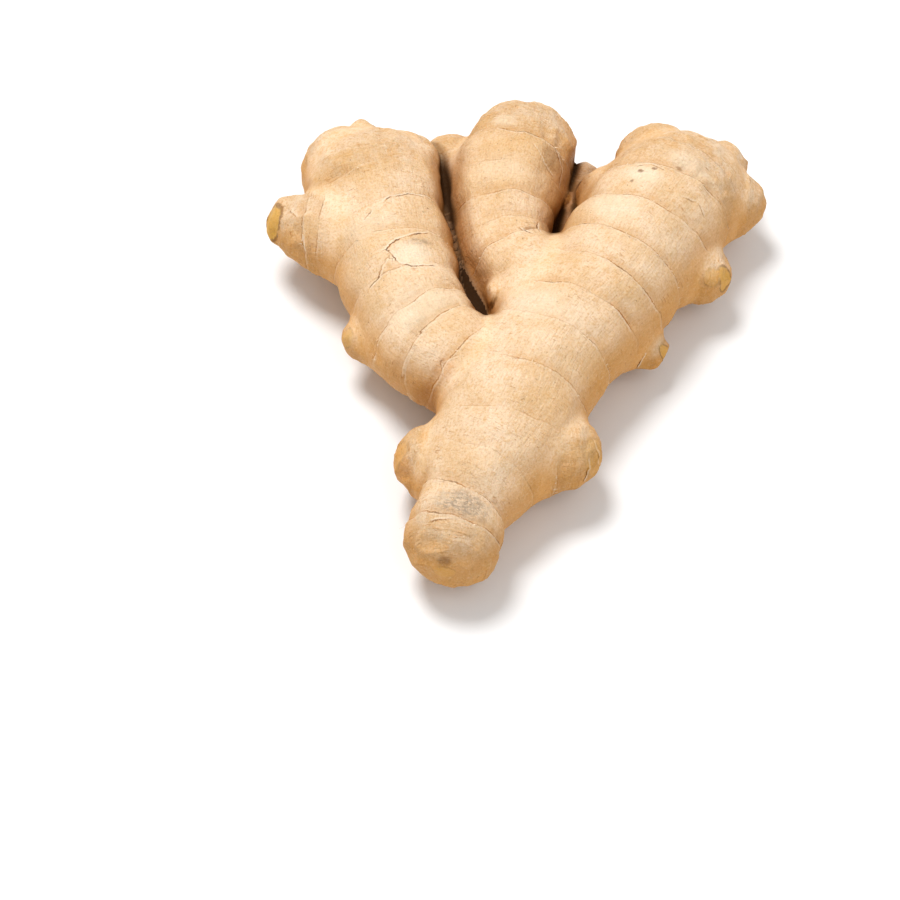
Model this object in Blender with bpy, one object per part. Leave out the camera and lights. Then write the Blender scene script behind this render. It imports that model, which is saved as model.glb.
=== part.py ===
"""A hand of fresh ginger: one rhizome with a stem, three fingers and the buds that grew on them.

The rhizome lies on a table. +Z is up, +Y runs from the cut stub towards the finger tips, and the
origin is on the table under the middle of the whole hand. Dimensions below are in millimetres.

Each limb is a chain of round stations along its spine. The chains are blended into one skin, and the
skin is then meshed, thinned out and set down on the table.
"""

import itertools

import bmesh
import bpy
import numpy as np
from mathutils import Matrix, Vector, noise

MM = 0.001

# Driving dimensions, in mm
FLATNESS = 0.95  # a limb's height over its width
BLEND = 1.1  # how softly one limb runs into the next
CREASE = 3.0  # how much sharper two side shoots meet
SPINE_STEP = 1.0  # spacing of the round stations along a spine
LUMP_HEIGHT = 0.8  # the uneven growth of the whole surface
LUMP_LENGTH = 12.0
RESTING_DEPTH = 0.8  # how far the lowest points are pressed flat where the hand rests
CAST_VOXEL = 1.1  # the fineness of the rough cast
SKIN_VOXEL = 0.8  # and of the skin, before it is thinned out
TRIANGLES = 7200

# Spines, from root to tip: (x, y, z, radius). The limbs of a side shoot run softly into the main
# axis and into each other, and where two side shoots meet, the crease between them is sharper.
MAIN_AXIS = {
    "main_axis": [
        (-16.1, -64.1, 13.6, 12.3),
        (-14.5, -56.1, 13.6, 11.6),
        (-10.5, -46.1, 14.6, 14.4),
        (-4.0, -33.6, 15.9, 17.0),
        (3.0, -18.1, 17.1, 16.8),
        (10.0, -6.6, 17.4, 17.0),
        (19.5, 6.4, 17.6, 17.8),
        (28.5, 21.4, 17.6, 18.3),
        (37.5, 36.4, 17.4, 18.6),
        (42.0, 42.9, 17.4, 16.6),
    ],
    "right_tip_left": [(39.0, 41.9, 17.4, 14.0), (37.0, 52.7, 17.4, 11.4)],
    "right_tip_middle": [(42.0, 41.9, 17.4, 14.0), (47.3, 44.9, 17.4, 11.6)],
    "right_tip_lobe_a": [(49.0, 47.9, 15.6, 9.0), (55.0, 54.9, 14.6, 6.8)],
    "right_tip_lobe_b": [(47.0, 40.4, 14.6, 12.0), (56.0, 43.3, 14.2, 8.7)],
    "right_tip_under": [(42.0, 46.4, 10.6, 9.0), (46.0, 54.4, 8.1, 6.5)],
    "right_upper_bud": [(41.0, 20.9, 13.1, 9.8), (46.3, 20.2, 12.4, 8.2)],
    "right_lower_bud": [(27.0, -2.1, 11.1, 7.5), (32.3, -3.6, 9.6, 5.2)],
    "right_shoulder": [(23.5, 34.5, 15.6, 7.5), (24.0, 42.2, 16.4, 8.2)],
    "stem_left_knob": [(-15.0, -41.1, 14.1, 9.2), (-22.0, -42.1, 13.1, 9.2)],
    "stem_right_knob": [(-0.5, -40.6, 13.6, 10.9), (9.0, -39.4, 13.0, 10.0)],
}
LEFT_SHOOT = {
    "left_finger": [
        (-4.0, -25.1, 16.6, 12.2),
        (-12.5, -16.8, 16.8, 13.2),
        (-22.0, -8.4, 17.0, 14.6),
        (-28.3, 5.9, 17.2, 14.8),
        (-32.3, 19.9, 16.8, 15.8),
        (-35.8, 34.4, 16.2, 17.2),
        (-38.0, 44.9, 16.2, 17.0),
    ],
    "left_tip_outer": [(-39.5, 44.9, 16.1, 14.5), (-44.2, 52.4, 15.6, 12.3)],
    "left_tip_inner": [(-33.0, 42.5, 16.1, 13.8), (-29.5, 53.4, 15.6, 10.2)],
    "left_tip_peak": [
        (-38.0, 49.4, 16.4, 10.0),
        (-40.2, 59.6, 17.4, 6.4),
        (-41.2, 63.6, 19.4, 3.4),
    ],
    "left_tip_under": [(-38.0, 50.4, 11.6, 10.0), (-37.0, 57.4, 9.1, 7.5)],
    "left_side_bud": [
        (-41.0, 28.9, 17.1, 12.5),
        (-48.0, 29.6, 16.6, 11.9),
        (-57.8, 33.9, 16.1, 7.2),
    ],
    "left_low_bud": [(-31.0, -4.6, 14.1, 9.0), (-38.3, -3.3, 13.6, 5.9)],
}
MIDDLE_SHOOT = {
    "middle_finger": [
        (9.5, -3.0, 17.0, 14.5),
        (6.5, 7.0, 16.8, 14.4),
        (1.2, 15.5, 16.4, 12.8),
        (-3.0, 25.5, 16.0, 12.0),
        (-3.6, 34.5, 16.0, 13.2),
        (-2.8, 44.0, 16.0, 14.5),
        (-1.5, 50.4, 16.0, 15.4),
        (1.0, 59.3, 15.8, 14.4),
    ],
    "middle_side_lobe": [
        (-8.0, 38.0, 13.0, 9.4),
        (-12.5, 50.0, 12.4, 9.4),
        (-16.8, 58.6, 11.3, 9.3),
    ],
    "middle_tip_lobe": [(2.0, 61.4, 11.6, 11.0), (6.5, 68.4, 9.6, 7.5)],
    "middle_bud": [(8.0, 43.5, 15.0, 4.0), (11.0, 44.0, 14.5, 2.6)],
    "middle_web": [(6.0, 5.0, 17.5, 12.0), (7.5, 10.5, 18.0, 7.8)],
    "notch_nub": [(-4.5, 4.0, 21.5, 3.6), (-6.2, 4.0, 22.0, 2.9)],
    "notch_floor": [(-9.0, -7.6, 10.1, 7.5), (-12.0, 8.4, 9.6, 7.5), (-18.5, 45.4, 9.4, 7.5)],
}
CLEFT_SHOOT = {
    "cleft_shoot": [(11.5, 31.4, 8.2, 4.8), (15.0, 44.9, 9.8, 5.8), (18.0, 54.4, 9.4, 5.4)],
}
SIDE_SHOOTS = [LEFT_SHOOT, MIDDLE_SHOOT, CLEFT_SHOOT]

SKIN_COLOUR = (0.72, 0.50, 0.27, 1.0)
SKIN_ROUGHNESS = 0.6


def spine_points(stations):
    """Round stations every SPINE_STEP along the smooth curve through the given ones."""
    given = np.array(stations, float)
    ends = np.vstack([2 * given[0] - given[1], given, 2 * given[-1] - given[-2]])
    points = []
    for before, a, b, after in zip(ends[:-3], ends[1:-2], ends[2:-1], ends[3:]):
        count = max(2, round(float(np.linalg.norm(b[:3] - a[:3])) / SPINE_STEP))
        for t in np.linspace(0, 1, count, endpoint=False):
            curve = 2 * a + (b - before) * t
            curve += (2 * before - 5 * a + 4 * b - after) * t**2
            curve += (3 * a - before - 3 * b + after) * t**3
            points.append(curve / 2)
    return np.array([*points, given[-1]])


def limb_distance(points, chain):
    """How far each point is outside the limb around one chain of round stations."""
    nearest = np.full(len(points), np.inf)
    for x, y, z, radius in chain:
        across = (points[:, 0] - x) ** 2 + (points[:, 1] - y) ** 2
        upright = ((points[:, 2] - z) / FLATNESS) ** 2
        nearest = np.minimum(nearest, np.sqrt(across + upright) - radius)
    return nearest


def closeness(points, chains):
    """How near each point is to a group of limbs. The nearness of groups adds up."""
    return sum(np.exp(-limb_distance(points, chain) / BLEND) for chain in chains)


def skin_distance(points, main, sides):
    """Zero on the skin, positive outside it: each side shoot's soft union with the main axis."""
    beside = sum(closeness(points, side) ** CREASE for side in sides) ** (1 / CREASE)
    return -BLEND * np.log(closeness(points, main) + beside)


def move_onto_skin(points, main, sides, rounds=4):
    """Newton steps that bring points near the skin onto it."""
    probe = 0.05
    for _ in range(rounds):
        here = skin_distance(points, main, sides)
        beside = [skin_distance(points + probe * axis, main, sides) for axis in np.eye(3)]
        slope = np.stack([there - here for there in beside], axis=1) / probe
        steepness = np.maximum((slope**2).sum(axis=1), 0.25)
        points = points - (here / steepness)[:, None] * slope
    return points


def bead_mesh(chains):
    """A round bead on each station, all in one mesh: the rough cast of the hand."""
    bm = bmesh.new()
    for chain in chains:
        for x, y, z, radius in chain[::2]:
            place = Matrix.Translation((x, y, z)) @ Matrix.Diagonal((1, 1, FLATNESS, 1))
            bmesh.ops.create_icosphere(bm, subdivisions=3, radius=radius, matrix=place)
    mesh = bpy.data.meshes.new("cast")
    bm.to_mesh(mesh)
    bm.free()
    return mesh


def modified(mesh, **modifiers):
    """The mesh with modifiers applied to it: their types, each with its settings."""
    obj = bpy.data.objects.new("modified", mesh)
    bpy.context.scene.collection.objects.link(obj)
    for kind, settings in modifiers.items():
        modifier = obj.modifiers.new(kind, kind)
        for name, value in settings.items():
            setattr(modifier, name, value)
    graph = bpy.context.evaluated_depsgraph_get()
    made = bpy.data.meshes.new_from_object(obj.evaluated_get(graph))
    bpy.data.objects.remove(obj)
    return made


def mesh_points(mesh):
    flat = np.empty(len(mesh.vertices) * 3)
    mesh.vertices.foreach_get("co", flat)
    return flat.reshape(-1, 3)


def set_mesh_points(mesh, points):
    mesh.vertices.foreach_set("co", points.ravel())
    mesh.update()


def fused(mesh, voxel):
    """One closed mesh, with an even spread of points, around all that the mesh encloses."""
    return modified(mesh, REMESH={"mode": "VOXEL", "voxel_size": voxel})


def lumpy(points, normals):
    """The points moved in and out a little, as uneven growth leaves the surface."""
    heights = [noise.noise(Vector(p) / LUMP_LENGTH) for p in points]
    return points + LUMP_HEIGHT * np.array(heights)[:, None] * normals


def vertex_normals(mesh):
    return np.array([v.normal[:] for v in mesh.vertices])


def thinned(mesh):
    """The mesh brought down to TRIANGLES."""
    mesh.calc_loop_triangles()
    ratio = TRIANGLES / len(mesh.loop_triangles)
    return modified(mesh, TRIANGULATE={}, DECIMATE={"ratio": ratio})


def set_down(mesh):
    """Presses the lowest points flat, and puts the origin on the table under the middle."""
    points = mesh_points(mesh)
    table = points[:, 2].min() + RESTING_DEPTH
    points[:, 2] = np.maximum(points[:, 2] - table, 0.0)
    middle = (points.min(axis=0) + points.max(axis=0)) / 2
    print("moved to the middle by", [round(float(-v), 2) for v in middle[:2]], "mm")
    points[:, :2] -= middle[:2]
    set_mesh_points(mesh, points * MM)


def skin_material():
    material = bpy.data.materials.new("skin")
    material.use_nodes = True
    shader = material.node_tree.nodes["Principled BSDF"]
    shader.inputs["Base Color"].default_value = SKIN_COLOUR
    shader.inputs["Roughness"].default_value = SKIN_ROUGHNESS
    shader.inputs["Metallic"].default_value = 0.0
    return material


def build_rhizome():
    main, *sides = (
        [spine_points(stations) for stations in shoot.values()] for shoot in (MAIN_AXIS, *SIDE_SHOOTS)
    )
    cast = fused(bead_mesh([*main, *itertools.chain(*sides)]), CAST_VOXEL)
    set_mesh_points(cast, move_onto_skin(mesh_points(cast), main, sides))
    set_mesh_points(cast, lumpy(mesh_points(cast), vertex_normals(cast)))
    mesh = thinned(fused(cast, SKIN_VOXEL))
    set_down(mesh)
    mesh.name = "rhizome"
    mesh.shade_smooth()
    mesh.materials.append(skin_material())
    rhizome = bpy.data.objects.new("rhizome", mesh)
    bpy.context.scene.collection.objects.link(rhizome)


def clear_scene():
    for obj in list(bpy.data.objects):
        bpy.data.objects.remove(obj)


clear_scene()
build_rhizome()
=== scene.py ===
"""The looks of a hand of fresh ginger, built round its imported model.

Lengths in the tables are millimetres in the model's frame: the hand lies on z = 0, +Y runs from the
cut stem to the finger tips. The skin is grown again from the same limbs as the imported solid, finely
enough to carry its rings, cracks, scars and wrinkles, and it stands in the solid's place.
"""

import math

import bmesh
import bpy
import numpy as np
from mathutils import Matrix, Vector, noise


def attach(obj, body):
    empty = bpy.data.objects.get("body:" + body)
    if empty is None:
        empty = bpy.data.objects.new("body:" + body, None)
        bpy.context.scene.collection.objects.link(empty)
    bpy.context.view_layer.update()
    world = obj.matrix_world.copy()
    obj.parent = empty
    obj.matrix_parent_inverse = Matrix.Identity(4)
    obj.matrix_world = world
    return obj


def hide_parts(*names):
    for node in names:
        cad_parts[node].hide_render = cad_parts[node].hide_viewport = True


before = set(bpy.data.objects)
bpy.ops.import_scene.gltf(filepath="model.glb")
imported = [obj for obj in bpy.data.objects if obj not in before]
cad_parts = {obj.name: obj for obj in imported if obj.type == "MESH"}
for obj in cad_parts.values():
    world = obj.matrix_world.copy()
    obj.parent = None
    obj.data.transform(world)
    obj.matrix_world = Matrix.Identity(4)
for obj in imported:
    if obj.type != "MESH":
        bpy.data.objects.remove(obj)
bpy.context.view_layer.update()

MM = 0.001

# ---------------------------------------------------------------------------------------------
# The limbs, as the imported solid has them: (x, y, z, radius) stations from root to tip

FLATNESS = 0.95  # a limb's height over its width
BLEND = 1.1  # how softly one limb runs into the next
CREASE = 3.0  # how much sharper two side shoots meet
SPINE_STEP = 1.0
LUMP_HEIGHT = 0.8
LUMP_LENGTH = 12.0
RESTING_DEPTH = 0.8  # how far the lowest points are pressed flat on the table

MAIN_AXIS = {
    "main_axis": [
        (-16.1, -64.1, 13.6, 12.3),
        (-14.5, -56.1, 13.6, 11.6),
        (-10.5, -46.1, 14.6, 14.4),
        (-4.0, -33.6, 15.9, 17.0),
        (3.0, -18.1, 17.1, 16.8),
        (10.0, -6.6, 17.4, 17.0),
        (19.5, 6.4, 17.6, 17.8),
        (28.5, 21.4, 17.6, 18.3),
        (37.5, 36.4, 17.4, 18.6),
        (42.0, 42.9, 17.4, 16.6),
    ],
    "right_tip_left": [(39.0, 41.9, 17.4, 14.0), (37.0, 52.7, 17.4, 11.4)],
    "right_tip_middle": [(42.0, 41.9, 17.4, 14.0), (47.3, 44.9, 17.4, 11.6)],
    "right_tip_lobe_a": [(49.0, 47.9, 15.6, 9.0), (55.0, 54.9, 14.6, 6.8)],
    "right_tip_lobe_b": [(47.0, 40.4, 14.6, 12.0), (56.0, 43.3, 14.2, 8.7)],
    "right_tip_under": [(42.0, 46.4, 10.6, 9.0), (46.0, 54.4, 8.1, 6.5)],
    "right_upper_bud": [(41.0, 20.9, 13.1, 9.8), (46.3, 20.2, 12.4, 8.2)],
    "right_lower_bud": [(27.0, -2.1, 11.1, 7.5), (32.3, -3.6, 9.6, 5.2)],
    "right_shoulder": [(23.5, 34.5, 15.6, 7.5), (24.0, 42.2, 16.4, 8.2)],
    "stem_left_knob": [(-15.0, -41.1, 14.1, 9.2), (-22.0, -42.1, 13.1, 9.2)],
    "stem_right_knob": [(-0.5, -40.6, 13.6, 10.9), (9.0, -39.4, 13.0, 10.0)],
}
LEFT_SHOOT = {
    "left_finger": [
        (-4.0, -25.1, 16.6, 12.2),
        (-12.5, -16.8, 16.8, 13.2),
        (-22.0, -8.4, 17.0, 14.6),
        (-28.3, 5.9, 17.2, 14.8),
        (-32.3, 19.9, 16.8, 15.8),
        (-35.8, 34.4, 16.2, 17.2),
        (-38.0, 44.9, 16.2, 17.0),
    ],
    "left_tip_outer": [(-39.5, 44.9, 16.1, 14.5), (-44.2, 52.4, 15.6, 12.3)],
    "left_tip_inner": [(-33.0, 42.5, 16.1, 13.8), (-29.5, 53.4, 15.6, 10.2)],
    "left_tip_peak": [
        (-38.0, 49.4, 16.4, 10.0),
        (-40.2, 59.6, 17.4, 6.4),
        (-41.2, 63.6, 19.4, 3.4),
    ],
    "left_tip_under": [(-38.0, 50.4, 11.6, 10.0), (-37.0, 57.4, 9.1, 7.5)],
    "left_side_bud": [
        (-41.0, 28.9, 17.1, 12.5),
        (-48.0, 29.6, 16.6, 11.9),
        (-57.8, 33.9, 16.1, 7.2),
    ],
    "left_low_bud": [(-31.0, -4.6, 14.1, 9.0), (-38.3, -3.3, 13.6, 5.9)],
}
MIDDLE_SHOOT = {
    "middle_finger": [
        (9.5, -3.0, 17.0, 14.5),
        (6.5, 7.0, 16.8, 14.4),
        (1.2, 15.5, 16.4, 12.8),
        (-3.0, 25.5, 16.0, 12.0),
        (-3.6, 34.5, 16.0, 13.2),
        (-2.8, 44.0, 16.0, 14.5),
        (-1.5, 50.4, 16.0, 15.4),
        (1.0, 59.3, 15.8, 14.4),
    ],
    "middle_side_lobe": [
        (-8.0, 38.0, 13.0, 9.4),
        (-12.5, 50.0, 12.4, 9.4),
        (-16.8, 58.6, 11.3, 9.3),
    ],
    "middle_tip_lobe": [(2.0, 61.4, 11.6, 11.0), (6.5, 68.4, 9.6, 7.5)],
    "middle_bud": [(8.0, 43.5, 15.0, 4.0), (11.0, 44.0, 14.5, 2.6)],
    "middle_web": [(6.0, 5.0, 17.5, 12.0), (7.5, 10.5, 18.0, 7.8)],
    "notch_nub": [(-4.5, 4.0, 21.5, 3.6), (-6.2, 4.0, 22.0, 2.9)],
    "notch_floor": [(-9.0, -7.6, 10.1, 7.5), (-12.0, 8.4, 9.6, 7.5), (-18.5, 45.4, 9.4, 7.5)],
}
CLEFT_SHOOT = {
    "cleft_shoot": [(11.5, 31.4, 8.2, 4.8), (15.0, 44.9, 9.8, 5.8), (18.0, 54.4, 9.4, 5.4)],
}
SHOOTS = [MAIN_AXIS, LEFT_SHOOT, MIDDLE_SHOOT, CLEFT_SHOOT]

# ---------------------------------------------------------------------------------------------
# What the skin carries

VOXEL = 0.56  # the skin's mesh

# Places on a limb are given as a distance along its spine and a turn round it in degrees: 0 is its
# right side, seen from its root, 90 is its top and 180 its left side.

# Leaf-scar rings: (distance along the spine, lean to the right, lean upwards, strength). A lean is
# how much further along the ring is on that side than at the spine.
RINGS = {
    "main_axis": [
        (-7.5, 0.5, 1.0, 0.25),
        (-0.8, -1.3, -2.1, 0.8),
        (4.6, -2.6, 2.7, 0.8),
        (17.0, 1.0, 1.0, 0.25),
        (29.3, 4.0, -0.7, 0.4),
        (42.1, 1.8, 1.1, 0.5),
        (57.3, 2.1, -0.1, 0.75),
        (68.4, 4.2, 0.2, 1.0),
        (81.9, 0.3, -2.7, 0.9),
        (90.1, 0.6, -0.6, 0.8),
        (103.9, 2.2, -2.1, 0.9),
        (114.3, 3.4, 0.6, 0.8),
        (126.2, -0.4, 0.2, 0.4),
    ],
    "left_finger": [
        (7.0, -0.5, -1.5, 0.4),
        (14.8, -0.4, -2.4, 0.8),
        (21.4, 1.1, 1.1, 0.8),
        (29.3, 1.9, 0.9, 0.8),
        (41.0, 0.0, -0.5, 0.6),
        (52.5, -1.0, 0.0, 0.6),
        (64.1, 2.1, -0.9, 0.7),
        (76.0, 1.0, 0.5, 0.4),
    ],
    "middle_finger": [
        (13.4, -10.0, -3.8, 0.5),
        (25.5, 0.3, 0.0, 0.9),
        (33.0, 1.0, -0.8, 0.3),
        (41.2, 0.8, -1.2, 0.8),
        (51.0, 1.0, -1.0, 0.35),
        (61.5, 0.2, -1.2, 0.9),
    ],
    "cleft_shoot": [(8.0, 0.5, 0.5, 0.6), (14.0, 0.5, 0.5, 0.7), (19.0, 0.5, 0.5, 0.6)],
    "left_side_bud": [(8.5, 0.3, 0.2, 0.7), (12.3, 1.3, 1.4, 0.7)],
    "left_low_bud": [(3.5, 0.4, 0.3, 0.7)],
    "middle_side_lobe": [(9.0, 0.6, 0.4, 0.5), (17.0, 0.6, 0.4, 0.5)],
    "right_upper_bud": [(3.0, 0.3, 0.3, 0.7)],
    "right_lower_bud": [(3.0, 0.3, 0.3, 0.7)],
    "right_shoulder": [(3.0, 0.5, 0.5, 0.5)],
    "right_tip_lobe_a": [(5.0, 0.4, 0.2, 0.5)],
    "right_tip_lobe_b": [(4.0, 0.4, 0.2, 0.5)],
    "stem_left_knob": [(5.0, 0.5, 0.5, 0.4)],
    "stem_right_knob": [(7.0, 0.5, 0.8, 0.5)],
    "middle_tip_lobe": [(5.0, 0.6, 0.4, 0.5)],
    "right_tip_under": [(5.0, 0.6, 0.4, 0.5)],
    "left_tip_under": [(4.0, 0.6, 0.4, 0.5)],
}
RING_WAVE = 0.7  # how far a ring wanders along its limb
RING_WAVE_LENGTH = 6.0
WAIST_DEPTH, WAIST_WIDTH = 0.65, 3.6  # the limb narrows at a ring
LEDGE_HEIGHT, LEDGE_WIDTH = 0.22, 3.0  # and is a little thicker on the root's side of it
GROOVE_DEPTH, GROOVE_WIDTH = 0.18, 1.4  # the skin draws in along it
RIM_HEIGHT, RIM_WIDTH = 0.15, 0.42  # and the old leaf's edge stands up beside it
RING_PATCH_LENGTH = 7.5  # a ring shows strongly in patches of about this length
RING_FAINTEST = 0.2  # and this strongly between them
FAR = 99.0  # the distance to a ring or a crack where there is none

# Cracks and scratches: limb, strength, then the (along, turn) points that the crack runs through
CRACKS = [
    ("left_finger", 1.0, [(46, 103), (47.5, 96), (48.5, 87), (49.5, 73), (50.5, 58)]),
    ("left_finger", 0.9, [(46, 103), (44, 100), (41, 96), (39.5, 85), (39, 64)]),
    ("left_finger", 0.8, [(42, 114), (40, 121), (39.5, 132)]),
    ("left_finger", 0.6, [(43.5, 106), (41, 118)]),
    ("left_finger", 0.6, [(59, 107), (58, 112)]),
    ("left_finger", 0.8, [(61.5, 90), (62.5, 86), (63, 76), (64, 63), (64, 52)]),
    ("left_finger", 0.5, [(12, 118), (15, 131), (13, 142)]),
    ("left_side_bud", 0.8, [(12, 143), (11, 163)]),
    ("left_side_bud", 0.6, [(16.5, 112), (15, 118)]),
    ("middle_finger", 1.0, [(26.5, 78), (23, 73)]),
    ("middle_finger", 1.0, [(29, 47), (24, 57)]),
    ("middle_finger", 0.6, [(56, 66), (53, 50), (52.5, 34)]),
    ("middle_finger", 0.7, [(60, 40), (57, 26), (52, 18)]),
    ("main_axis", 0.8, [(-4.5, 113), (-4.2, 96)]),
    ("main_axis", 0.6, [(112, 112), (113.5, 103), (113, 92)]),
    ("main_axis", 0.5, [(108, 62), (110, 50), (109, 41)]),
    ("main_axis", 0.6, [(37, 152), (41, 146), (44, 150)]),
    ("right_lower_bud", 1.0, [(4, 50), (4.5, 25), (4.5, 0)]),
    ("stem_right_knob", 0.9, [(15, 36), (14.5, 5)]),
    ("stem_right_knob", 0.7, [(17, 70), (18, 45)]),
]
CRACK_DEPTH, CRACK_WIDTH = 0.12, 0.7
CRACK_END = (0.2, 1.2)  # a crack runs out over this stretch past its last point
LINE_REACH = 3.0  # how far from a ring or a crack its own marks go
PINCH_REACH = (0.9, 3.0)  # how far the painted shade at the bottom of a cleft spreads up its walls
SEAM_REACH = (0.3, 2.6)  # details fade over this stretch where two limbs meet
OPEN_REACHES = (4.0, 10.0)  # how far out from the skin its openness is felt, near and far
OPENEST = 1.2

PATCH_EDGE = (0.35, 1.25)  # a stain or the patch of painted shade fades over this stretch, in parts of its reach

# Stains, and one patch of painted shade: kind, limb, (along, turn) of the middle, reach along and round
# the limb in mm, strength
STAINS_AND_SHADE = [
    ("grey", "main_axis", (1.0, 82), (5.2, 8.5), 1.0),
    ("grey", "left_finger", (47.2, 68), (1.3, 4.5), 0.7),
    ("grey", "left_finger", (23.5, 112), (2.5, 3.5), 0.35),
    ("pale", "left_finger", (43.2, 79), (4.0, 6.5), 0.7),
    ("pale", "left_finger", (27.0, 95), (7.0, 11.0), 0.5),
    ("pale", "left_finger", (55.0, 110), (4.0, 9.0), 0.35),
    ("pale", "main_axis", (60.0, 105), (6.0, 12.0), 0.4),
    ("pale", "main_axis", (97.0, 110), (5.0, 9.0), 0.5),
    ("pale", "middle_finger", (47.0, 95), (5.0, 9.0), 0.35),
    ("pale", "middle_finger", (63.5, 105), (2.5, 4.0), 0.6),
    ("pale", "main_axis", (109.0, 100), (4.0, 6.0), 0.6),
    ("pale", "main_axis", (119.0, 75), (4.0, 9.0), 0.5),
    ("brown", "main_axis", (110.0, 106), (0.9, 1.1), 1.0),
    ("brown", "main_axis", (112.2, 97), (0.8, 1.0), 1.0),
    ("brown", "main_axis", (105.8, 107), (0.7, 0.8), 0.8),
    ("brown", "main_axis", (116.5, 80), (0.8, 1.5), 0.8),
    ("brown", "middle_finger", (57.0, 40), (6.0, 6.5), 0.55),
    ("brown", "middle_finger", (26.0, 66), (1.4, 4.0), 0.7),
    ("brown", "middle_finger", (70.0, 90), (8.0, 14.0), 0.3),
    ("brown", "main_axis", (-11.3, 100), (0.8, 2.6), 0.65),
    ("brown", "right_upper_bud", (6.0, 40), (5.0, 4.0), 0.3),
    ("brown", "stem_right_knob", (17.0, 40), (3.0, 5.0), 0.4),
    ("brown", "left_finger", (0.0, 130), (4.0, 5.0), 0.3),
    ("brown", "right_tip_lobe_a", (8.0, 60), (3.0, 4.0), 0.3),
    ("brown", "cleft_shoot", (12.0, 90), (20.0, 14.0), 0.6),
    # painted shade: the floor under the gap between the left and middle fingers, painted dark as a deep
    # pocket's shadow
    ("dark", "notch_floor", (20.0, 90), (60.0, 40.0), 1.0),
    ("orange", "left_finger", (12.5, 135), (3.5, 4.0), 0.8),
    ("orange", "main_axis", (38.0, 160), (5.0, 4.0), 0.5),
    ("orange", "stem_left_knob", (15.0, 100), (4.0, 7.0), 1.0),
    ("orange", "middle_finger", (13.0, 70), (5.0, 6.0), 0.4),
]

# Scars at the ends of buds: limb, which end, the way it faces, radius, how much taller than wide,
# and how strongly it shows
SCARS = [
    ("left_side_bud", -1, (-0.88, -0.32, 0.36), 3.9, 1.25, 1.0),
    ("right_upper_bud", -1, (0.78, -0.56, 0.28), 2.1, 1.9, 0.9),
    ("right_upper_bud", -1, (0.32, -0.72, 0.62), 2.4, 1.0, 0.35),
    ("right_lower_bud", -1, (0.88, -0.42, 0.22), 1.7, 1.6, 0.8),
    ("stem_left_knob", -1, (-0.95, -0.06, 0.30), 3.4, 1.5, 0.3),
    ("stem_right_knob", -1, (0.88, -0.36, 0.30), 4.4, 1.2, 0.3),
    ("left_low_bud", -1, (-0.85, -0.30, 0.42), 2.2, 1.2, 0.5),
    ("main_axis", 0, (-0.22, -0.97, 0.08), 2.6, 0.8, 0.35),
    ("middle_tip_lobe", -1, (0.40, 0.90, 0.15), 3.2, 1.1, 0.8),
    ("right_tip_under", -1, (0.40, 0.90, 0.10), 3.0, 1.1, 0.8),
    ("left_tip_under", -1, (0.10, 0.98, 0.10), 3.2, 1.1, 0.8),
    ("middle_bud", -1, (0.90, -0.30, 0.30), 1.1, 1.6, 0.6),
    ("right_tip_lobe_b", -1, (0.95, 0.10, 0.10), 2.4, 1.2, 0.3),
]
SCAR_RIM_HEIGHT, SCAR_RIM_WIDTH = 0.22, 0.14
SCAR_DEPTH = 0.38
SCAR_BOSS, SCAR_BOSS_WIDTH = 0.8, 0.3  # how far the dish's middle stands up again
SCAR_FULL_RADIUS = 3.0  # a smaller scar is shallower
SCAR_SHALLOWEST = 0.4
SCAR_FAR = 4.0  # in a scar's radii: nothing of it shows from here on

ROUGH_GROWTH = [(8.5, 0.5), (4.0, 0.24), (2.0, 0.08)]  # smaller lumps: (length, height)
TIP_GROWTH = [(6.0, 0.8), (2.8, 0.16)]  # and the sharper ones on the limbs' ends
TIP_REACH = 13.0  # how far a limb's end reaches back along it
STEM_END = 4.0  # the cut stem's own end reaches this far along the main axis
WRINKLE_ACROSS, WRINKLE_ALONG, WRINKLE_HEIGHT = 1.4, 8.0, 0.08

# Loose dry skin along the rings: how many strips, their lengths and their widths
LOOSE = [
    (260, (0.4, 1.0), (0.15, 0.5)),  # flakes
    (220, (0.7, 1.8), (0.04, 0.08)),  # root hairs
]
LOOSE_ABOVE = 4.0  # none nearer to the table than this
LOOSE_OPENNESS = 0.9  # none in the clefts
LOOSE_RING_STRENGTH = 0.3  # only on rings that show at least this much
LOOSE_OFF_RIM = 0.3  # and this near to their rims
LOOSE_CURL = (0.1, 0.5)  # how far a strip's end lifts, in parts of its length
STRIP_STEPS = 3
STRIP_TAPER = 0.85  # how much narrower a strip is at its end
STRIP_THICKNESS = 0.05
STRIP_ROOTED = 0.08  # how deep in the skin a strip starts


def spine_points(stations):
    """Round stations every SPINE_STEP along the smooth curve through the given ones."""
    given = np.array(stations, float)
    ends = np.vstack([2 * given[0] - given[1], given, 2 * given[-1] - given[-2]])
    points = []
    for before, a, b, after in zip(ends[:-3], ends[1:-2], ends[2:-1], ends[3:]):
        count = max(2, round(float(np.linalg.norm(b[:3] - a[:3])) / SPINE_STEP))
        for t in np.linspace(0, 1, count, endpoint=False):
            curve = 2 * a + (b - before) * t
            curve += (2 * before - 5 * a + 4 * b - after) * t**2
            curve += (3 * a - before - 3 * b + after) * t**3
            points.append(curve / 2)
    return np.array([*points, given[-1]])


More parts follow.
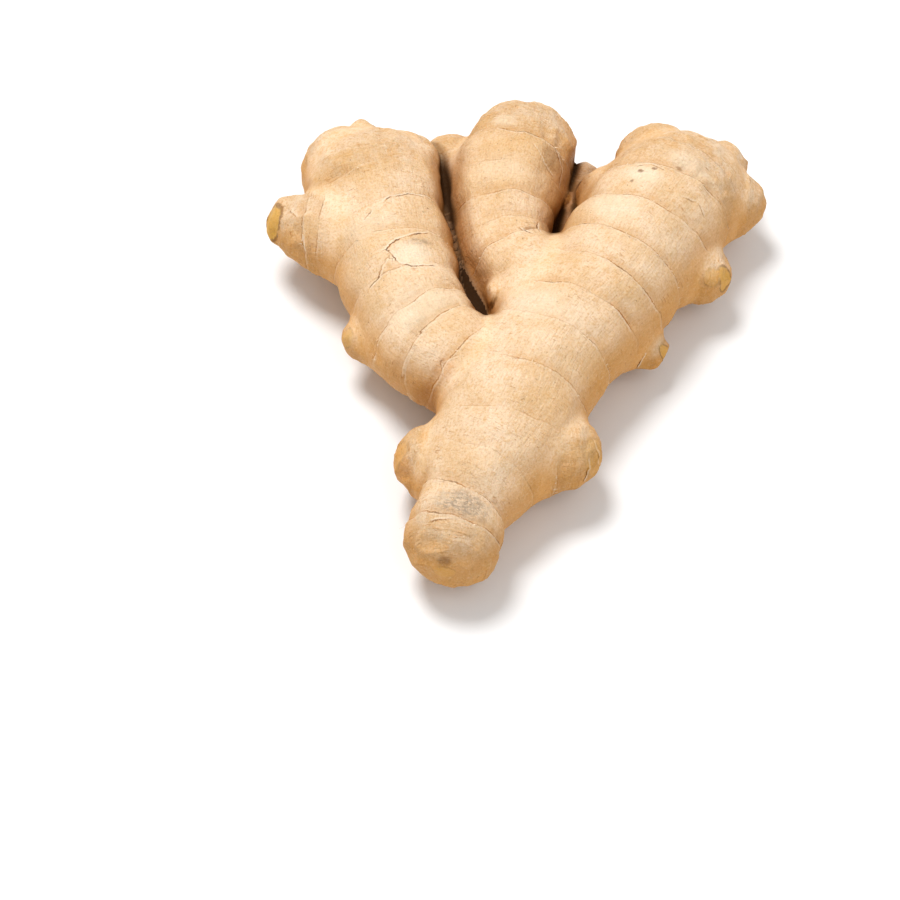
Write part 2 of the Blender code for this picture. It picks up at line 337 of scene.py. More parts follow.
class Limb:
    """A chain of round stations, with the directions and the length along its spine."""

    def __init__(self, name, shoot, stations):
        self.name = name
        self.shoot = shoot
        chain = spine_points(stations)
        self.centres, self.radii = chain[:, :3], chain[:, 3]
        steps = np.linalg.norm(np.diff(self.centres, axis=0), axis=1)
        self.lengths = np.concatenate([[0], np.cumsum(steps)])
        ahead = np.gradient(self.centres, axis=0)
        self.ahead = ahead / np.linalg.norm(ahead, axis=1)[:, None]
        up = np.array([0, 0, 1.0]) - self.ahead[:, 2:] * self.ahead
        self.up = up / np.linalg.norm(up, axis=1)[:, None]
        self.right = np.cross(self.ahead, self.up)

    def distances(self, points):
        """How far outside the limb each point is, and the station that it is nearest to."""
        nearest = np.full(len(points), np.inf)
        station = np.zeros(len(points), int)
        px, py, pz = points.T
        for i, ((x, y, z), radius) in enumerate(zip(self.centres, self.radii)):
            gap = np.sqrt((px - x) ** 2 + (py - y) ** 2 + ((pz - z) / FLATNESS) ** 2) - radius
            closer = gap < nearest
            nearest[closer] = gap[closer]
            station[closer] = i
        return nearest, station

    def own_coordinates(self, points, station):
        """Each point's place as (right of the spine, above it, along it)."""
        offset = points - self.centres[station]
        return np.stack(
            [
                (offset * self.right[station]).sum(axis=1),
                (offset * self.up[station]).sum(axis=1),
                self.lengths[station] + (offset * self.ahead[station]).sum(axis=1),
            ],
            axis=1,
        )

    def around(self, own, turn):
        """How far round the limb each point is from the given turn, in mm."""
        angle = np.arctan2(own[:, 1], own[:, 0]) - math.radians(turn)
        angle = (angle + math.pi) % (2 * math.pi) - math.pi
        return angle * np.hypot(own[:, 0], own[:, 1])


def all_limbs():
    return [
        Limb(name, shoot, stations)
        for shoot, limbs in enumerate(SHOOTS)
        for name, stations in limbs.items()
    ]


def skin_distance(points, limbs):
    """Zero on the skin, positive outside it, with its slope and each limb's distance and station.

    The limbs of a side shoot run softly into the main axis, which is shoot 0, and into each other,
    and two side shoots meet in a sharper crease.
    """
    gaps, stations = zip(*(limb.distances(points) for limb in limbs))
    gaps = np.array(gaps)
    nearest = gaps.min(axis=0)
    shares = np.exp(-(gaps - nearest) / BLEND)
    shoots = np.array([limb.shoot for limb in limbs])
    groups = np.array([shares[shoots == shoot].sum(axis=0) for shoot in range(len(SHOOTS))])
    beside = (groups[1:] ** CREASE).sum(axis=0) ** (1 / CREASE)
    total = groups[0] + beside
    weights = (groups / np.maximum(beside, 1e-12)) ** (CREASE - 1)
    weights[0] = 1
    slope = np.zeros_like(points)
    for limb, station, share in zip(limbs, stations, shares / total):
        toward = (points - limb.centres[station]) / (1, 1, FLATNESS)
        toward /= np.linalg.norm(toward, axis=1)[:, None] + 1e-9
        slope += (share * weights[limb.shoot])[:, None] * toward / (1, 1, FLATNESS)
    return nearest - BLEND * np.log(total), slope, gaps, stations


def move_onto_skin(points, limbs, rounds=4):
    for _ in range(rounds):
        gap, slope, _, _ = skin_distance(points, limbs)
        steepness = np.maximum((slope**2).sum(axis=1), 0.25)
        points = points - (gap / steepness)[:, None] * slope
    return points


def noise_at(points, length, seed=0.0):
    """Smooth noise, about -1 to 1, that changes over the given length."""
    shift = Vector((seed, 7.3 * seed, -3.1 * seed))
    return np.array([noise.noise(Vector(p) / length + shift) for p in points])


def smooth_step(low, high, values):
    t = np.clip((values - low) / (high - low), 0, 1)
    return t * t * (3 - 2 * t)


def bump(values, width):
    return np.exp(-((values / width) ** 2))


def mesh_points(mesh):
    flat = np.empty(len(mesh.vertices) * 3)
    mesh.vertices.foreach_get("co", flat)
    return flat.reshape(-1, 3)


def set_mesh_points(mesh, points):
    mesh.vertices.foreach_set("co", points.ravel())
    mesh.update()


def mesh_normals(mesh):
    flat = np.empty(len(mesh.vertices) * 3)
    mesh.vertex_normals.foreach_get("vector", flat)
    return flat.reshape(-1, 3)


def keep_values(mesh, name, values):
    """Stores one number, or one vector, for each of the mesh's points, for the materials to read."""
    if values.ndim == 1:
        mesh.attributes.new(name, "FLOAT", "POINT").data.foreach_set("value", values)
    else:
        mesh.attributes.new(name, "FLOAT_VECTOR", "POINT").data.foreach_set("vector", values.ravel())


def kept_values(mesh, name):
    values = np.empty(len(mesh.vertices))
    mesh.attributes[name].data.foreach_get("value", values)
    return values


# ---------------------------------------------------------------------------------------------
# The skin's mesh


def fine_mesh():
    """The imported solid's mesh, remeshed into small even faces, in millimetres."""
    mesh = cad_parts["rhizome"].data.copy()
    set_mesh_points(mesh, mesh_points(mesh) / MM)
    obj = bpy.data.objects.new("fine", mesh)
    bpy.context.scene.collection.objects.link(obj)
    remesh = obj.modifiers.new("remesh", "REMESH")
    remesh.mode = "VOXEL"
    remesh.voxel_size = VOXEL
    graph = bpy.context.evaluated_depsgraph_get()
    made = bpy.data.meshes.new_from_object(obj.evaluated_get(graph))
    bpy.data.objects.remove(obj)
    made.materials.clear()
    return made


def ring_lines(limb, own):
    """Signed distance to the limb's nearest ring, that ring's strength, and how much of it shows."""
    gap = np.full(len(own), FAR)
    strength = np.zeros(len(own))
    showing = np.zeros(len(own))
    turn = own[:, :2] / np.linalg.norm(own[:, :2], axis=1)[:, None]
    for number, (along, right_lean, up_lean, force) in enumerate(RINGS.get(limb.name, [])):
        radius = np.interp(along, limb.lengths, limb.radii)
        own_slice = 31.0 * number  # of the noise, so that no two rings wander alike
        around = np.column_stack([turn * radius, np.full(len(own), own_slice)])
        place = along + turn @ (right_lean, up_lean)
        place = place + RING_WAVE * noise_at(around, RING_WAVE_LENGTH, number)
        away = own[:, 2] - place
        closer = np.abs(away) < np.abs(gap)
        gap[closer] = away[closer]
        strength[closer] = force
        patches = noise_at(around[closer], RING_PATCH_LENGTH, number + 40.0)
        showing[closer] = RING_FAINTEST + (1 - RING_FAINTEST) * smooth_step(-0.4, 0.1, patches)
    return gap, strength, showing


def crack_lines(limb, own):
    """Signed distance to the limb's nearest crack, and that crack's strength near it."""
    gap = np.full(len(own), FAR)
    near = np.zeros(len(own))
    best = np.full(len(own), np.inf)
    for name, force, path in CRACKS:
        if name != limb.name:
            continue
        for (start, start_turn), (end, end_turn) in zip(path, path[1:]):
            here = np.stack([own[:, 2] - start, limb.around(own, start_turn)], axis=1)
            radius = np.interp(start, limb.lengths, limb.radii)
            run = np.array([end - start, math.radians(end_turn - start_turn) * radius])
            length = np.linalg.norm(run)
            run /= length
            ahead = here @ run
            aside = here @ (-run[1], run[0])
            past = np.maximum(np.maximum(-ahead, ahead - length), 0)
            away = np.hypot(past, aside)
            closer = away < best
            best[closer] = away[closer]
            gap[closer] = aside[closer]
            near[closer] = force * (1 - smooth_step(*CRACK_END, past[closer]))
    return gap, near


def stain_and_shade_strengths(limb, own):
    """How strongly each kind of stain, and the painted shade, shows at each point of one limb."""
    kinds = {}
    for kind, name, (along, turn), (reach_along, reach_around), force in STAINS_AND_SHADE:
        if name == limb.name:
            away = np.hypot((own[:, 2] - along) / reach_along, limb.around(own, turn) / reach_around)
            shown = force * (1 - smooth_step(*PATCH_EDGE, away))
            kinds[kind] = np.maximum(kinds.get(kind, 0), shown)
    return kinds


def scar_field(points, limbs):
    """How far each point is from the nearest scar's middle, in its radii, and how it shows."""
    by_name = {limb.name: limb for limb in limbs}
    nearest = np.full(len(points), SCAR_FAR)
    size = np.ones(len(points))
    showing = np.zeros(len(points))
    for name, end, facing, radius, tallness, force in SCARS:
        limb = by_name[name]
        facing = np.array(facing) / np.linalg.norm(facing)
        middle = limb.centres[end] + facing * limb.radii[end] * (1, 1, FLATNESS)
        across = np.cross((0, 0, 1.0), facing)
        across /= np.linalg.norm(across)
        tall = np.cross(facing, across)
        offset = points - middle
        rounds = np.hypot(offset @ across, offset @ tall / tallness) / radius
        rounds = np.where(np.abs(offset @ facing) < radius, rounds, SCAR_FAR)
        closer = rounds < nearest
        nearest[closer] = rounds[closer]
        size[closer] = radius
        showing[closer] = force
    return nearest, size, showing


def pinched(points, limbs, gaps, stations):
    """1 where the walls of two shoots meet face to face at the bottom of a cleft, falling to 0."""
    shoots = np.array([limb.shoot for limb in limbs])
    reach, outward = [], []
    for shoot in range(len(SHOOTS)):
        members = np.flatnonzero(shoots == shoot)
        best = members[gaps[members].argmin(axis=0)]
        away = np.zeros_like(points)
        for number in members:
            mine = best == number
            away[mine] = points[mine] - limbs[number].centres[stations[number][mine]]
        reach.append(gaps[members].min(axis=0))
        outward.append(away / np.linalg.norm(away, axis=1)[:, None])
    reach, outward = np.array(reach), np.array(outward)
    first, second = np.argsort(reach, axis=0)[:2]
    each = np.arange(len(points))
    facing = (outward[first, each] * outward[second, each]).sum(axis=1)
    close = 1 - smooth_step(*PINCH_REACH, reach[second, each] - reach[first, each])
    return close * smooth_step(0.3, -0.4, facing)


def grow_skin():
    """The skin's mesh in metres, with the values on its points that the materials read."""
    limbs = all_limbs()
    mesh = fine_mesh()
    points = move_onto_skin(mesh_points(mesh), limbs)
    set_mesh_points(mesh, points)
    normals = mesh_normals(mesh)
    _, _, gaps, stations = skin_distance(points, limbs)
    pinch = pinched(points, limbs, gaps, stations)

    # Each point belongs to the limb whose surface is nearest
    order = np.sort(gaps, axis=0)
    owner = gaps.argmin(axis=0)
    firmly = smooth_step(*SEAM_REACH, order[1] - order[0])  # 0 where two limbs meet
    own = np.zeros_like(points)
    ring_gap, crack_gap = np.full((2, len(points)), FAR)
    ring_strength, ring_showing, crack_near, tip = np.zeros((4, len(points)))
    stains_and_shade = {kind: np.zeros(len(points)) for kind, *_ in STAINS_AND_SHADE}
    for number, limb in enumerate(limbs):
        mine = owner == number
        if not mine.any():
            continue
        own[mine] = limb.own_coordinates(points[mine], stations[number][mine])
        ring_gap[mine], ring_strength[mine], ring_showing[mine] = ring_lines(limb, own[mine])
        crack_gap[mine], crack_near[mine] = crack_lines(limb, own[mine])
        for kind, shown in stain_and_shade_strengths(limb, own[mine]).items():
            stains_and_shade[kind][mine] = shown
        along = own[mine, 2]
        tip[mine] = smooth_step(-TIP_REACH, 0, along - limb.lengths[-1])
        if limb.name == "main_axis":
            tip[mine] = np.maximum(tip[mine], smooth_step(STEM_END, STEM_END - TIP_REACH, along))
    ring_strength *= firmly
    ring_near = ring_strength * ring_showing

    # Lumps and wrinkles; each noise has a seed of its own
    height = LUMP_HEIGHT * noise_at(points, LUMP_LENGTH)
    for number, (length, lump) in enumerate(ROUGH_GROWTH):
        height += lump * noise_at(points, length, 5.0 + number) * (0.3 + 0.7 * firmly)
    for number, (length, lump) in enumerate(TIP_GROWTH):
        ridges = 0.5 - 2 * np.abs(noise_at(points, length, 15.0 + number))
        height += lump * ridges * tip * (0.2 + 0.8 * firmly)
    grain = own / (WRINKLE_ACROSS, WRINKLE_ACROSS, WRINKLE_ALONG)
    height += WRINKLE_HEIGHT * noise_at(grain, 1.0, 9.0) * firmly

    # Rings and cracks
    height -= WAIST_DEPTH * bump(ring_gap, WAIST_WIDTH) * ring_strength
    ledge = -np.tanh(ring_gap / RIM_WIDTH) * bump(ring_gap, LEDGE_WIDTH)
    height += LEDGE_HEIGHT * ledge * ring_near
    height -= GROOVE_DEPTH * bump(ring_gap, GROOVE_WIDTH) * ring_near
    height += RIM_HEIGHT * bump(ring_gap + RIM_WIDTH, RIM_WIDTH) * ring_near
    height -= CRACK_DEPTH * bump(crack_gap, CRACK_WIDTH) * crack_near

    scar, scar_size, scar_showing = scar_field(points, limbs)
    rim = SCAR_RIM_HEIGHT * bump(scar - 1, SCAR_RIM_WIDTH)
    dish = SCAR_DEPTH * np.clip(1 - scar**2, 0, 1)
    dish *= 1 - SCAR_BOSS * bump(scar, SCAR_BOSS_WIDTH)
    height += (rim - dish) * scar_showing * np.clip(scar_size / SCAR_FULL_RADIUS, SCAR_SHALLOWEST, 1)
    points = points + height[:, None] * normals

    # Open is 1 on the outer curves and falls towards 0 in the clefts
    openness = {
        name: skin_distance(points + reach * normals, limbs)[0] / reach
        for name, reach in zip(("open_near", "open_far"), OPEN_REACHES)
    }

    table = points[:, 2].min() + RESTING_DEPTH
    points[:, 2] = np.maximum(points[:, 2] - table, 0)
    set_mesh_points(mesh, points * MM)
    mesh.shade_smooth()

    for name, gap, near in (("ring", ring_gap, ring_near), ("crack", crack_gap, crack_near)):
        keep_values(mesh, name + "_gap", np.clip(gap, -LINE_REACH, LINE_REACH))
        fade = 1 - smooth_step(0.5 * LINE_REACH, 0.9 * LINE_REACH, np.abs(gap))
        keep_values(mesh, name + "_near", near * fade)
    for kind, shown in stains_and_shade.items():
        keep_values(mesh, kind, shown)
    keep_values(mesh, "own", own)
    keep_values(mesh, "firmly", firmly)
    keep_values(mesh, "tip", tip)
    keep_values(mesh, "scar", scar)
    keep_values(mesh, "scar_showing", scar_showing)
    for name, values in openness.items():
        keep_values(mesh, name, np.clip(values, 0, OPENEST))
    keep_values(mesh, "facing_up", normals[:, 2])
    keep_values(mesh, "pinch", pinch)
    return mesh


def thin_strip(bm, root, ahead, lift, length, width, curl):
    """A closed strip from its root, tapering to its end and curling up from the skin, in mm."""
    side = np.cross(ahead, lift)
    rings = []
    for t in np.linspace(0, 1, STRIP_STEPS + 1):
        middle = root + ahead * length * t + lift * (curl * t * t - STRIP_ROOTED * (1 - t))
        half = side * width * (1 - STRIP_TAPER * t) / 2
        thick = lift * STRIP_THICKNESS / 2
        under, over = middle - thick, middle + thick
        corners = (under - half, under + half, over + half, over - half)
        rings.append([bm.verts.new(corner * MM) for corner in corners])
    for a, b in zip(rings, rings[1:]):
        for k in range(4):
            bm.faces.new((a[k], a[(k + 1) % 4], b[(k + 1) % 4], b[k]))
    bm.faces.new(rings[0][::-1])
    bm.faces.new(rings[-1])


def loose_skin(skin):
    """Flakes of dry skin along the rings, and fine root hairs, as one mesh of thin strips."""
    random = np.random.default_rng(7)
    points = mesh_points(skin) / MM
    normals = mesh_normals(skin)
    gap, near = kept_values(skin, "ring_gap"), kept_values(skin, "ring_near")
    outside = (kept_values(skin, "open_near") > LOOSE_OPENNESS) & (points[:, 2] > LOOSE_ABOVE)
    by_rims = (near > LOOSE_RING_STRENGTH) & (np.abs(gap + RIM_WIDTH) < LOOSE_OFF_RIM)
    on_rims = np.flatnonzero(by_rims & outside)
    bm = bmesh.new()
    for count, lengths, widths in LOOSE:
        for spot in random.choice(on_rims, count, replace=False):
            lift = normals[spot]
            ahead = np.cross(lift, random.normal(size=3))
            ahead /= np.linalg.norm(ahead)
            length = random.uniform(*lengths)
            width = random.uniform(*widths)
            curl = length * random.uniform(*LOOSE_CURL)
            thin_strip(bm, points[spot], ahead, lift, length, width, curl)
    mesh = bpy.data.meshes.new("loose")
    bm.to_mesh(mesh)
    bm.free()
    return mesh


class Wiring:
    """Makes a material's nodes. A method that adds one returns the socket to wire on."""

    def __init__(self, material):
        material.use_nodes = True
        self.nodes = material.node_tree.nodes
        self.links = material.node_tree.links

    def put(self, value, socket):
        if isinstance(value, bpy.types.NodeSocket):
            self.links.new(value, socket)
        else:
            socket.default_value = value

    def attribute(self, name, output="Fac"):
        node = self.nodes.new("ShaderNodeAttribute")
        node.attribute_name = name
        return node.outputs[output]

    def place(self):
        return self.nodes.new("ShaderNodeTexCoord").outputs["Object"]

    def scaled(self, vector, scale):
        node = self.nodes.new("ShaderNodeMapping")
        self.put(vector, node.inputs["Vector"])
        node.inputs["Scale"].default_value = scale
        return node.outputs["Vector"]

    def noise(self, vector, scale, detail=3.0, roughness=0.55, distortion=0.0):
        node = self.nodes.new("ShaderNodeTexNoise")
        self.put(vector, node.inputs["Vector"])
        node.inputs["Scale"].default_value = scale
        node.inputs["Detail"].default_value = detail
        node.inputs["Roughness"].default_value = roughness
        node.inputs["Distortion"].default_value = distortion
        return node.outputs["Fac"]

    def maths(self, operation, a, b=0.0, c=0.0):
        node = self.nodes.new("ShaderNodeMath")
        node.operation = operation
        for value, socket in zip((a, b, c), node.inputs):
            self.put(value, socket)
        return node.outputs[0]

    def product(self, first, *others):
        for other in others:
            first = self.maths("MULTIPLY", first, other)
        return first

    def frayed(self, distance, ragged, by):
        """The distance, made uneven by a noise: by is the whole stretch that it wanders over."""
        return self.maths("ADD", distance, self.maths("MULTIPLY_ADD", ragged, by, -by / 2))

    def ramp(self, value, low, high, out_low=0.0, out_high=1.0):
        """A smooth ramp of the value from low to high."""
        node = self.nodes.new("ShaderNodeMapRange")
        node.interpolation_type = "SMOOTHSTEP"
        self.put(value, node.inputs["Value"])
        for name, number in zip(
            ("From Min", "From Max", "To Min", "To Max"), (low, high, out_low, out_high)
        ):
            node.inputs[name].default_value = number
        return node.outputs["Result"]

    def line(self, distance, reach, core, at=0.0):
        """A line where the distance is at the given one: 1 within core of it, 0 beyond reach."""
        return self.ramp(self.maths("ABSOLUTE", self.maths("SUBTRACT", distance, at)), reach, core)

    def mix(self, share, a, b):
        node = self.nodes.new("ShaderNodeMix")
        node.data_type = "RGBA"
        self.put(share, node.inputs["Factor"])
        self.put(a, node.inputs["A"])
        self.put(b, node.inputs["B"])
        return node.outputs["Result"]

    def bump(self, height, distance, strength, below=None):
        node = self.nodes.new("ShaderNodeBump")
        self.put(height, node.inputs["Height"])
        node.inputs["Distance"].default_value = distance
        node.inputs["Strength"].default_value = strength
        if below is not None:
            self.put(below, node.inputs["Normal"])
        return node.outputs["Normal"]


def srgb(red, green, blue):
    """A colour given as it looks on a screen, for a shader's linear input."""
    linear = [c / 12.92 if c <= 0.04045 else ((c + 0.055) / 1.055) ** 2.4 for c in (red, green, blue)]
    return (*linear, 1.0)


CREAM = srgb(0.93, 0.82, 0.69)
BEIGE = srgb(0.885, 0.75, 0.585)
TAN = srgb(0.84, 0.66, 0.43)
PALE = srgb(0.96, 0.90, 0.80)
# the dark of the fibres, and the painted shade just past each ring
FIBRE_AND_RING_SHADE = srgb(0.75, 0.53, 0.28)
# painted shade on the flanks, and the colour of the small ticks on the limbs' ends
FLANK_SHADE_AND_TICK_ORANGE = srgb(0.82, 0.565, 0.23)
TIP_TAN = srgb(0.84, 0.61, 0.30)
# painted shade: warm brown in the clefts, and near black where two limbs close on each other
CLEFT_SHADE = srgb(0.60, 0.36, 0.14)
CREVICE_SHADE = srgb(0.13, 0.06, 0.02)
LINE_GOLD = srgb(0.62, 0.37, 0.12)
LINE_DARK = srgb(0.38, 0.20, 0.06)
SCAR_YELLOW = srgb(0.87, 0.66, 0.29)
STAIN_GREY = srgb(0.56, 0.49, 0.42)
STAIN_BROWN = srgb(0.46, 0.27, 0.10)
STAIN_ORANGE = srgb(0.88, 0.58, 0.25)


class SkinNoise:
    """What the layers of the skin's paint and relief share."""

    def __init__(self, w):
        self.place = w.place()
        self.own = w.attribute("own", "Vector")
        self.firmly = w.attribute("firmly")
        self.tip = w.attribute("tip")
        # On a limb's own coordinates, in mm: long fibres along it, and creases across it
        self.fibres = w.noise(w.scaled(self.own, (2.6, 2.6, 0.22)), 1.0, 4.0, 0.6)
        self.fine_fibres = w.noise(w.scaled(self.own, (7.0, 7.0, 0.5)), 1.0, 3.0, 0.6)
        self.creases = w.noise(w.scaled(self.own, (0.45, 0.45, 2.4)), 1.0, 4.0, 0.65, 0.5)
        # On the place, in metres
        self.tone = w.noise(self.place, 90.0, 4.0, 0.6)
        self.patchy = w.noise(self.place, 260.0, 2.0)
        self.grain = w.noise(self.place, 700.0, 5.0, 0.65)
        self.ragged = w.noise(self.place, 900.0, 3.0, 0.6)
        self.fine_grain = w.noise(self.place, 1900.0, 3.0, 0.6)


def bare_skin(w, skin):
    """The skin's own colour, cream to beige, with painted shade that browns the flanks."""
    colour = w.mix(w.ramp(skin.tone, 0.36, 0.66), CREAM, BEIGE)
    tanned = w.ramp(w.noise(skin.place, 30.0, 3.0), 0.46, 0.66, 0.0, 0.4)
    colour = w.mix(tanned, colour, TAN)
    # painted shade: the more the skin faces sideways or down, the browner it is painted
    flank_shade = w.ramp(w.attribute("facing_up"), 0.85, 0.15, 0.0, 0.8)
    colour = w.mix(flank_shade, colour, FLANK_SHADE_AND_TICK_ORANGE)
    tip = w.product(skin.tip, w.ramp(w.noise(skin.place, 200.0, 4.0, 0.65), 0.42, 0.62), 0.35)
    colour = w.mix(tip, colour, TIP_TAN)
    tip_ticks = w.product(w.ramp(skin.creases, 0.5, 0.62), skin.tip, w.ramp(skin.patchy, 0.4, 0.6), 0.4)
    return w.mix(tip_ticks, colour, FLANK_SHADE_AND_TICK_ORANGE)


def grained(w, skin, colour):
    """Grain, faint fibres, small golden creases and brown specks."""
    colour = w.mix(w.ramp(skin.grain, 0.5, 0.64, 0.0, 0.4), colour, TAN)
    colour = w.mix(w.ramp(skin.fine_grain, 0.5, 0.66, 0.0, 0.35), colour, FIBRE_AND_RING_SHADE)
    colour = w.mix(w.ramp(skin.fine_grain, 0.46, 0.34, 0.0, 0.15), colour, PALE)
    dark_fibres = w.product(w.ramp(skin.fibres, 0.42, 0.68), skin.firmly, 0.2)
    colour = w.mix(dark_fibres, colour, FIBRE_AND_RING_SHADE)
    pale_fibres = w.product(w.ramp(skin.fine_fibres, 0.6, 0.74), skin.firmly, 0.3)
    colour = w.mix(pale_fibres, colour, PALE)
    ticks = w.product(w.ramp(skin.creases, 0.58, 0.68), w.ramp(skin.patchy, 0.45, 0.6), skin.firmly, 0.6)
    colour = w.mix(ticks, colour, LINE_GOLD)
    spots = w.ramp(w.noise(skin.place, 1100.0, 2.0), 0.68, 0.75)
    specks = w.product(spots, w.ramp(skin.tone, 0.45, 0.6), 0.55)
    return w.mix(specks, colour, LINE_DARK)


def stained(w, skin, colour):
    """Each kind of stain, broken up by the grain or by a noise of its own."""
    soft = w.ramp(skin.grain, 0.3, 0.7, 0.6, 1.0)
    colour = w.mix(w.product(w.attribute("orange"), soft, 0.4), colour, STAIN_ORANGE)
    colour = w.mix(w.product(w.attribute("pale"), soft, 0.8), colour, PALE)
    dashes = w.noise(w.scaled(skin.own, (0.6, 0.6, 1.1)), 1.0, 5.0, 0.75, 0.8)
    dashes = w.ramp(dashes, 0.4, 0.6, 0.25, 1.0)
    colour = w.mix(w.product(w.attribute("grey"), dashes, 0.8), colour, STAIN_GREY)
    brown = w.attribute("brown")
    blotch = w.ramp(w.maths("ADD", brown, w.product(skin.ragged, 0.8)), 0.5, 1.1)
    return w.mix(w.product(blotch, brown, 0.8), colour, STAIN_BROWN)


def ringed(w, skin, colour):
    """A thin broken line, the old leaf's pale ragged edge before it and a band of painted shade beyond
    it.

    Returns the line and the edge too.
    """
    gap = w.frayed(w.attribute("ring_gap"), skin.ragged, 0.9)
    near = w.attribute("ring_near")
    whole = w.ramp(skin.patchy, 0.34, 0.54, 0.35, 1.0)
    line = w.product(w.line(gap, 0.28, 0.08), near, whole)
    edge = w.product(w.line(gap, 0.4, 0.1, at=-0.5), near)
    # painted shade: a darker band just past the ring, on its tip's side
    shade = w.product(w.line(gap, 2.0, 0.1, at=0.9), near)
    dark = w.ramp(w.noise(skin.place, 170.0, 2.0), 0.52, 0.62)
    colour = w.mix(w.product(shade, 0.3), colour, FIBRE_AND_RING_SHADE)
    colour = w.mix(w.product(edge, 0.3), colour, PALE)
    colour = w.mix(w.product(line, 0.85), colour, w.mix(dark, LINE_GOLD, LINE_DARK))
    return colour, line, edge


def cracked(w, skin, colour):
    """Dark lines with a pale lifted edge. Returns the lines and the edges too."""
    gap = w.frayed(w.attribute("crack_gap"), skin.ragged, 1.0)
    near = w.attribute("crack_near")
    line = w.product(w.line(gap, 0.28, 0.06), near)
    edge = w.product(w.line(gap, 0.35, 0.1, at=0.4), near)
    colour = w.mix(w.product(edge, 0.5), colour, PALE)
    line_colour = w.mix(w.ramp(skin.patchy, 0.48, 0.60), LINE_GOLD, LINE_DARK)
    colour = w.mix(w.product(line, w.ramp(skin.patchy, 0.38, 0.56, 0.2, 0.95)), colour, line_colour)
    return colour, line, edge


def scarred(w, skin, colour):
    """Bud scars: yellow inside, brown at the rim."""
    showing = w.attribute("scar_showing")
    scar = w.frayed(w.attribute("scar"), skin.ragged, 0.4)
    colour = w.mix(w.product(w.ramp(scar, 1.2, 0.8), showing, 0.8), colour, SCAR_YELLOW)
    rim = w.product(w.line(scar, 0.16, 0.03, at=1.0), showing)
    return w.mix(w.product(rim, w.ramp(skin.patchy, 0.35, 0.55), 0.6), colour, LINE_DARK)


def shaded(w, colour):
    """Painted shade: clefts between the limbs are painted warmer and darker, and nearly black where they
    close, which it returns too.
    """
    colour = w.mix(w.ramp(w.attribute("open_far"), 0.9, 0.2, 0.0, 0.4), colour, CLEFT_SHADE)
    colour = w.mix(w.ramp(w.attribute("open_near"), 0.8, 0.1, 0.0, 0.5), colour, CLEFT_SHADE)
    # the pinch and the dark patch on the notch's floor are both painted shade
    shut = w.maths("MAXIMUM", w.attribute("pinch"), w.attribute("dark"))
    return w.mix(w.product(shut, 0.95), colour, CREVICE_SHADE), shut


def skin_relief(w, skin, edges):
    """What is finer than the mesh: for each, its height, how far it stands out in metres, strength."""
    normal = None
    for height, distance, strength in (
        (skin.grain, 0.0005, 0.7),
        (skin.fine_grain, 0.0002, 0.5),
        (w.product(skin.fibres, skin.firmly), 0.0004, 0.65),
        (w.product(skin.fine_fibres, skin.firmly), 0.00014, 0.6),
        (w.product(skin.creases, skin.firmly), 0.0006, 0.4),
        (w.product(skin.creases, skin.tip), 0.0006, 0.4),
        (edges, 0.0002, 0.35),
    ):
        normal = w.bump(height, distance, strength, normal)
    return normal


def skin_material():
    material = bpy.data.materials.new("ginger_skin")
    w = Wiring(material)
    shader = w.nodes["Principled BSDF"]
    skin = SkinNoise(w)
    colour = stained(w, skin, grained(w, skin, bare_skin(w, skin)))
    colour, ring, ring_edge = ringed(w, skin, colour)
    colour, crack, crack_edge = cracked(w, skin, colour)
    colour, shut = shaded(w, scarred(w, skin, colour))
    w.put(colour, shader.inputs["Base Color"])
    w.put(w.ramp(skin.tone, 0.3, 0.7, 0.5, 0.65), shader.inputs["Roughness"])
    # Whatever is dark doesn't shine, or it would look grey
    dull = w.maths("MAXIMUM", shut, w.maths("MAXIMUM", ring, crack))
    w.put(w.ramp(dull, 0.0, 0.8, 0.16, 0.0), shader.inputs["Specular IOR Level"])
    shader.inputs["Subsurface Weight"].default_value = 0.08
    shader.inputs["Subsurface Radius"].default_value = (1.0, 0.55, 0.25)
    shader.inputs["Subsurface Scale"].default_value = 0.0015
    edges = w.maths("ADD", ring_edge, crack_edge)
    w.put(skin_relief(w, skin, edges), shader.inputs["Normal"])
    return material


def loose_material():
    material = bpy.data.materials.new("loose_skin")
    w = Wiring(material)
    shader = w.nodes["Principled BSDF"]
    w.put(w.mix(w.noise(w.place(), 300.0, 2.0), PALE, TAN), shader.inputs["Base Color"])
    shader.inputs["Roughness"].default_value = 0.65
    return material


def add_piece(name, mesh, material):
    mesh.name = name
    mesh.materials.append(material)
    piece = bpy.data.objects.new(name, mesh)
    bpy.context.scene.collection.objects.link(piece)
    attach(piece, "root")
    return piece


# ---------------------------------------------------------------------------------------------
# The studio

FLOOR_SIZE = 6.0
FLOOR_WHITE = 0.86
WORLD_STRENGTH = 0.56
# Softboxes, as name: (place, size, power), all turned to the same spot
LIGHTS = {
    "key": ((-0.3, 0.35, 1.1), 0.5, 12.0),
    "fill": ((0.55, -0.55, 0.9), 0.9, 3.0),
}
LIT_SPOT = (0, 0, 0.01)
CAMERA_ELEVATION = 52.0
CAMERA_DISTANCE = 0.625
CAMERA_LENS = 100.0
SENSOR_WIDTH = 36.0
# The hand stands up and to the right of the middle of the picture
AIM = (-0.0175, -0.0272, -0.0013)


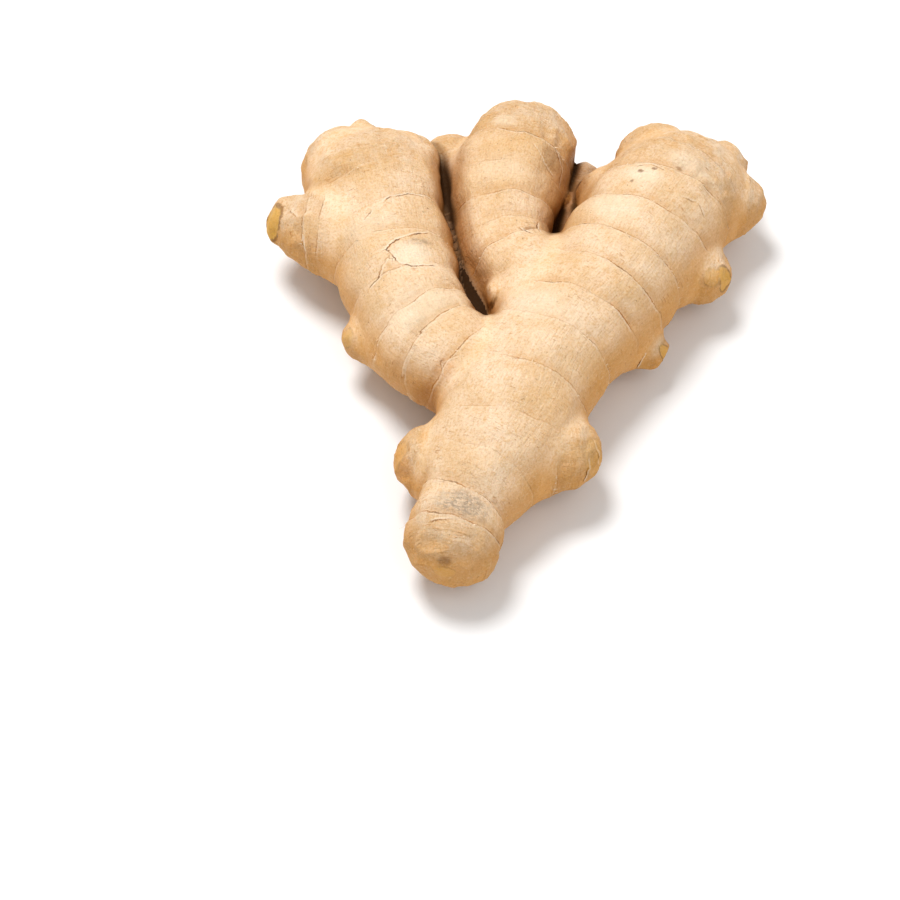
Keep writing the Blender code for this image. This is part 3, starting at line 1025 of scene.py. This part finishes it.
def floor():
    bm = bmesh.new()
    bmesh.ops.create_grid(bm, x_segments=1, y_segments=1, size=FLOOR_SIZE / 2)
    mesh = bpy.data.meshes.new("floor")
    bm.to_mesh(mesh)
    bm.free()
    material = bpy.data.materials.new("floor")
    w = Wiring(material)
    shader = w.nodes["Principled BSDF"]
    shader.inputs["Base Color"].default_value = (FLOOR_WHITE, FLOOR_WHITE, FLOOR_WHITE, 1.0)
    shader.inputs["Roughness"].default_value = 0.9
    shader.inputs["Specular IOR Level"].default_value = 0.1
    mesh.materials.append(material)
    obj = bpy.data.objects.new("floor", mesh)
    bpy.context.scene.collection.objects.link(obj)


def softbox(name, place, size, power):
    light = bpy.data.lights.new(name, "AREA")
    light.shape = "DISK"
    light.size = size
    light.energy = power
    obj = bpy.data.objects.new(name, light)
    obj.location = place
    obj.rotation_mode = "QUATERNION"
    obj.rotation_quaternion = (Vector(LIT_SPOT) - Vector(place)).to_track_quat("-Z", "Y")
    bpy.context.scene.collection.objects.link(obj)


def lights():
    world = bpy.data.worlds.new("studio")
    world.use_nodes = True
    background = world.node_tree.nodes["Background"]
    background.inputs["Color"].default_value = (1.0, 1.0, 1.0, 1.0)
    background.inputs["Strength"].default_value = WORLD_STRENGTH
    bpy.context.scene.world = world
    for name, (place, size, power) in LIGHTS.items():
        softbox(name, place, size, power)


def camera():
    lens = bpy.data.cameras.new("camera")
    lens.lens = CAMERA_LENS
    lens.sensor_width = SENSOR_WIDTH
    lens.clip_start = 0.01
    obj = bpy.data.objects.new("camera", lens)
    tilt = math.radians(CAMERA_ELEVATION)
    back = Vector((0, -math.cos(tilt), math.sin(tilt)))
    obj.location = Vector(AIM) + CAMERA_DISTANCE * back
    obj.rotation_mode = "QUATERNION"
    obj.rotation_quaternion = (-back).to_track_quat("-Z", "Y")
    bpy.context.scene.collection.objects.link(obj)
    bpy.context.scene.camera = obj


skin = add_piece("skin", grow_skin(), skin_material())
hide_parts("rhizome")
add_piece("skin_flakes", loose_skin(skin.data), loose_material())
floor()
lights()
camera()
bpy.context.scene.view_settings.view_transform = "Standard"
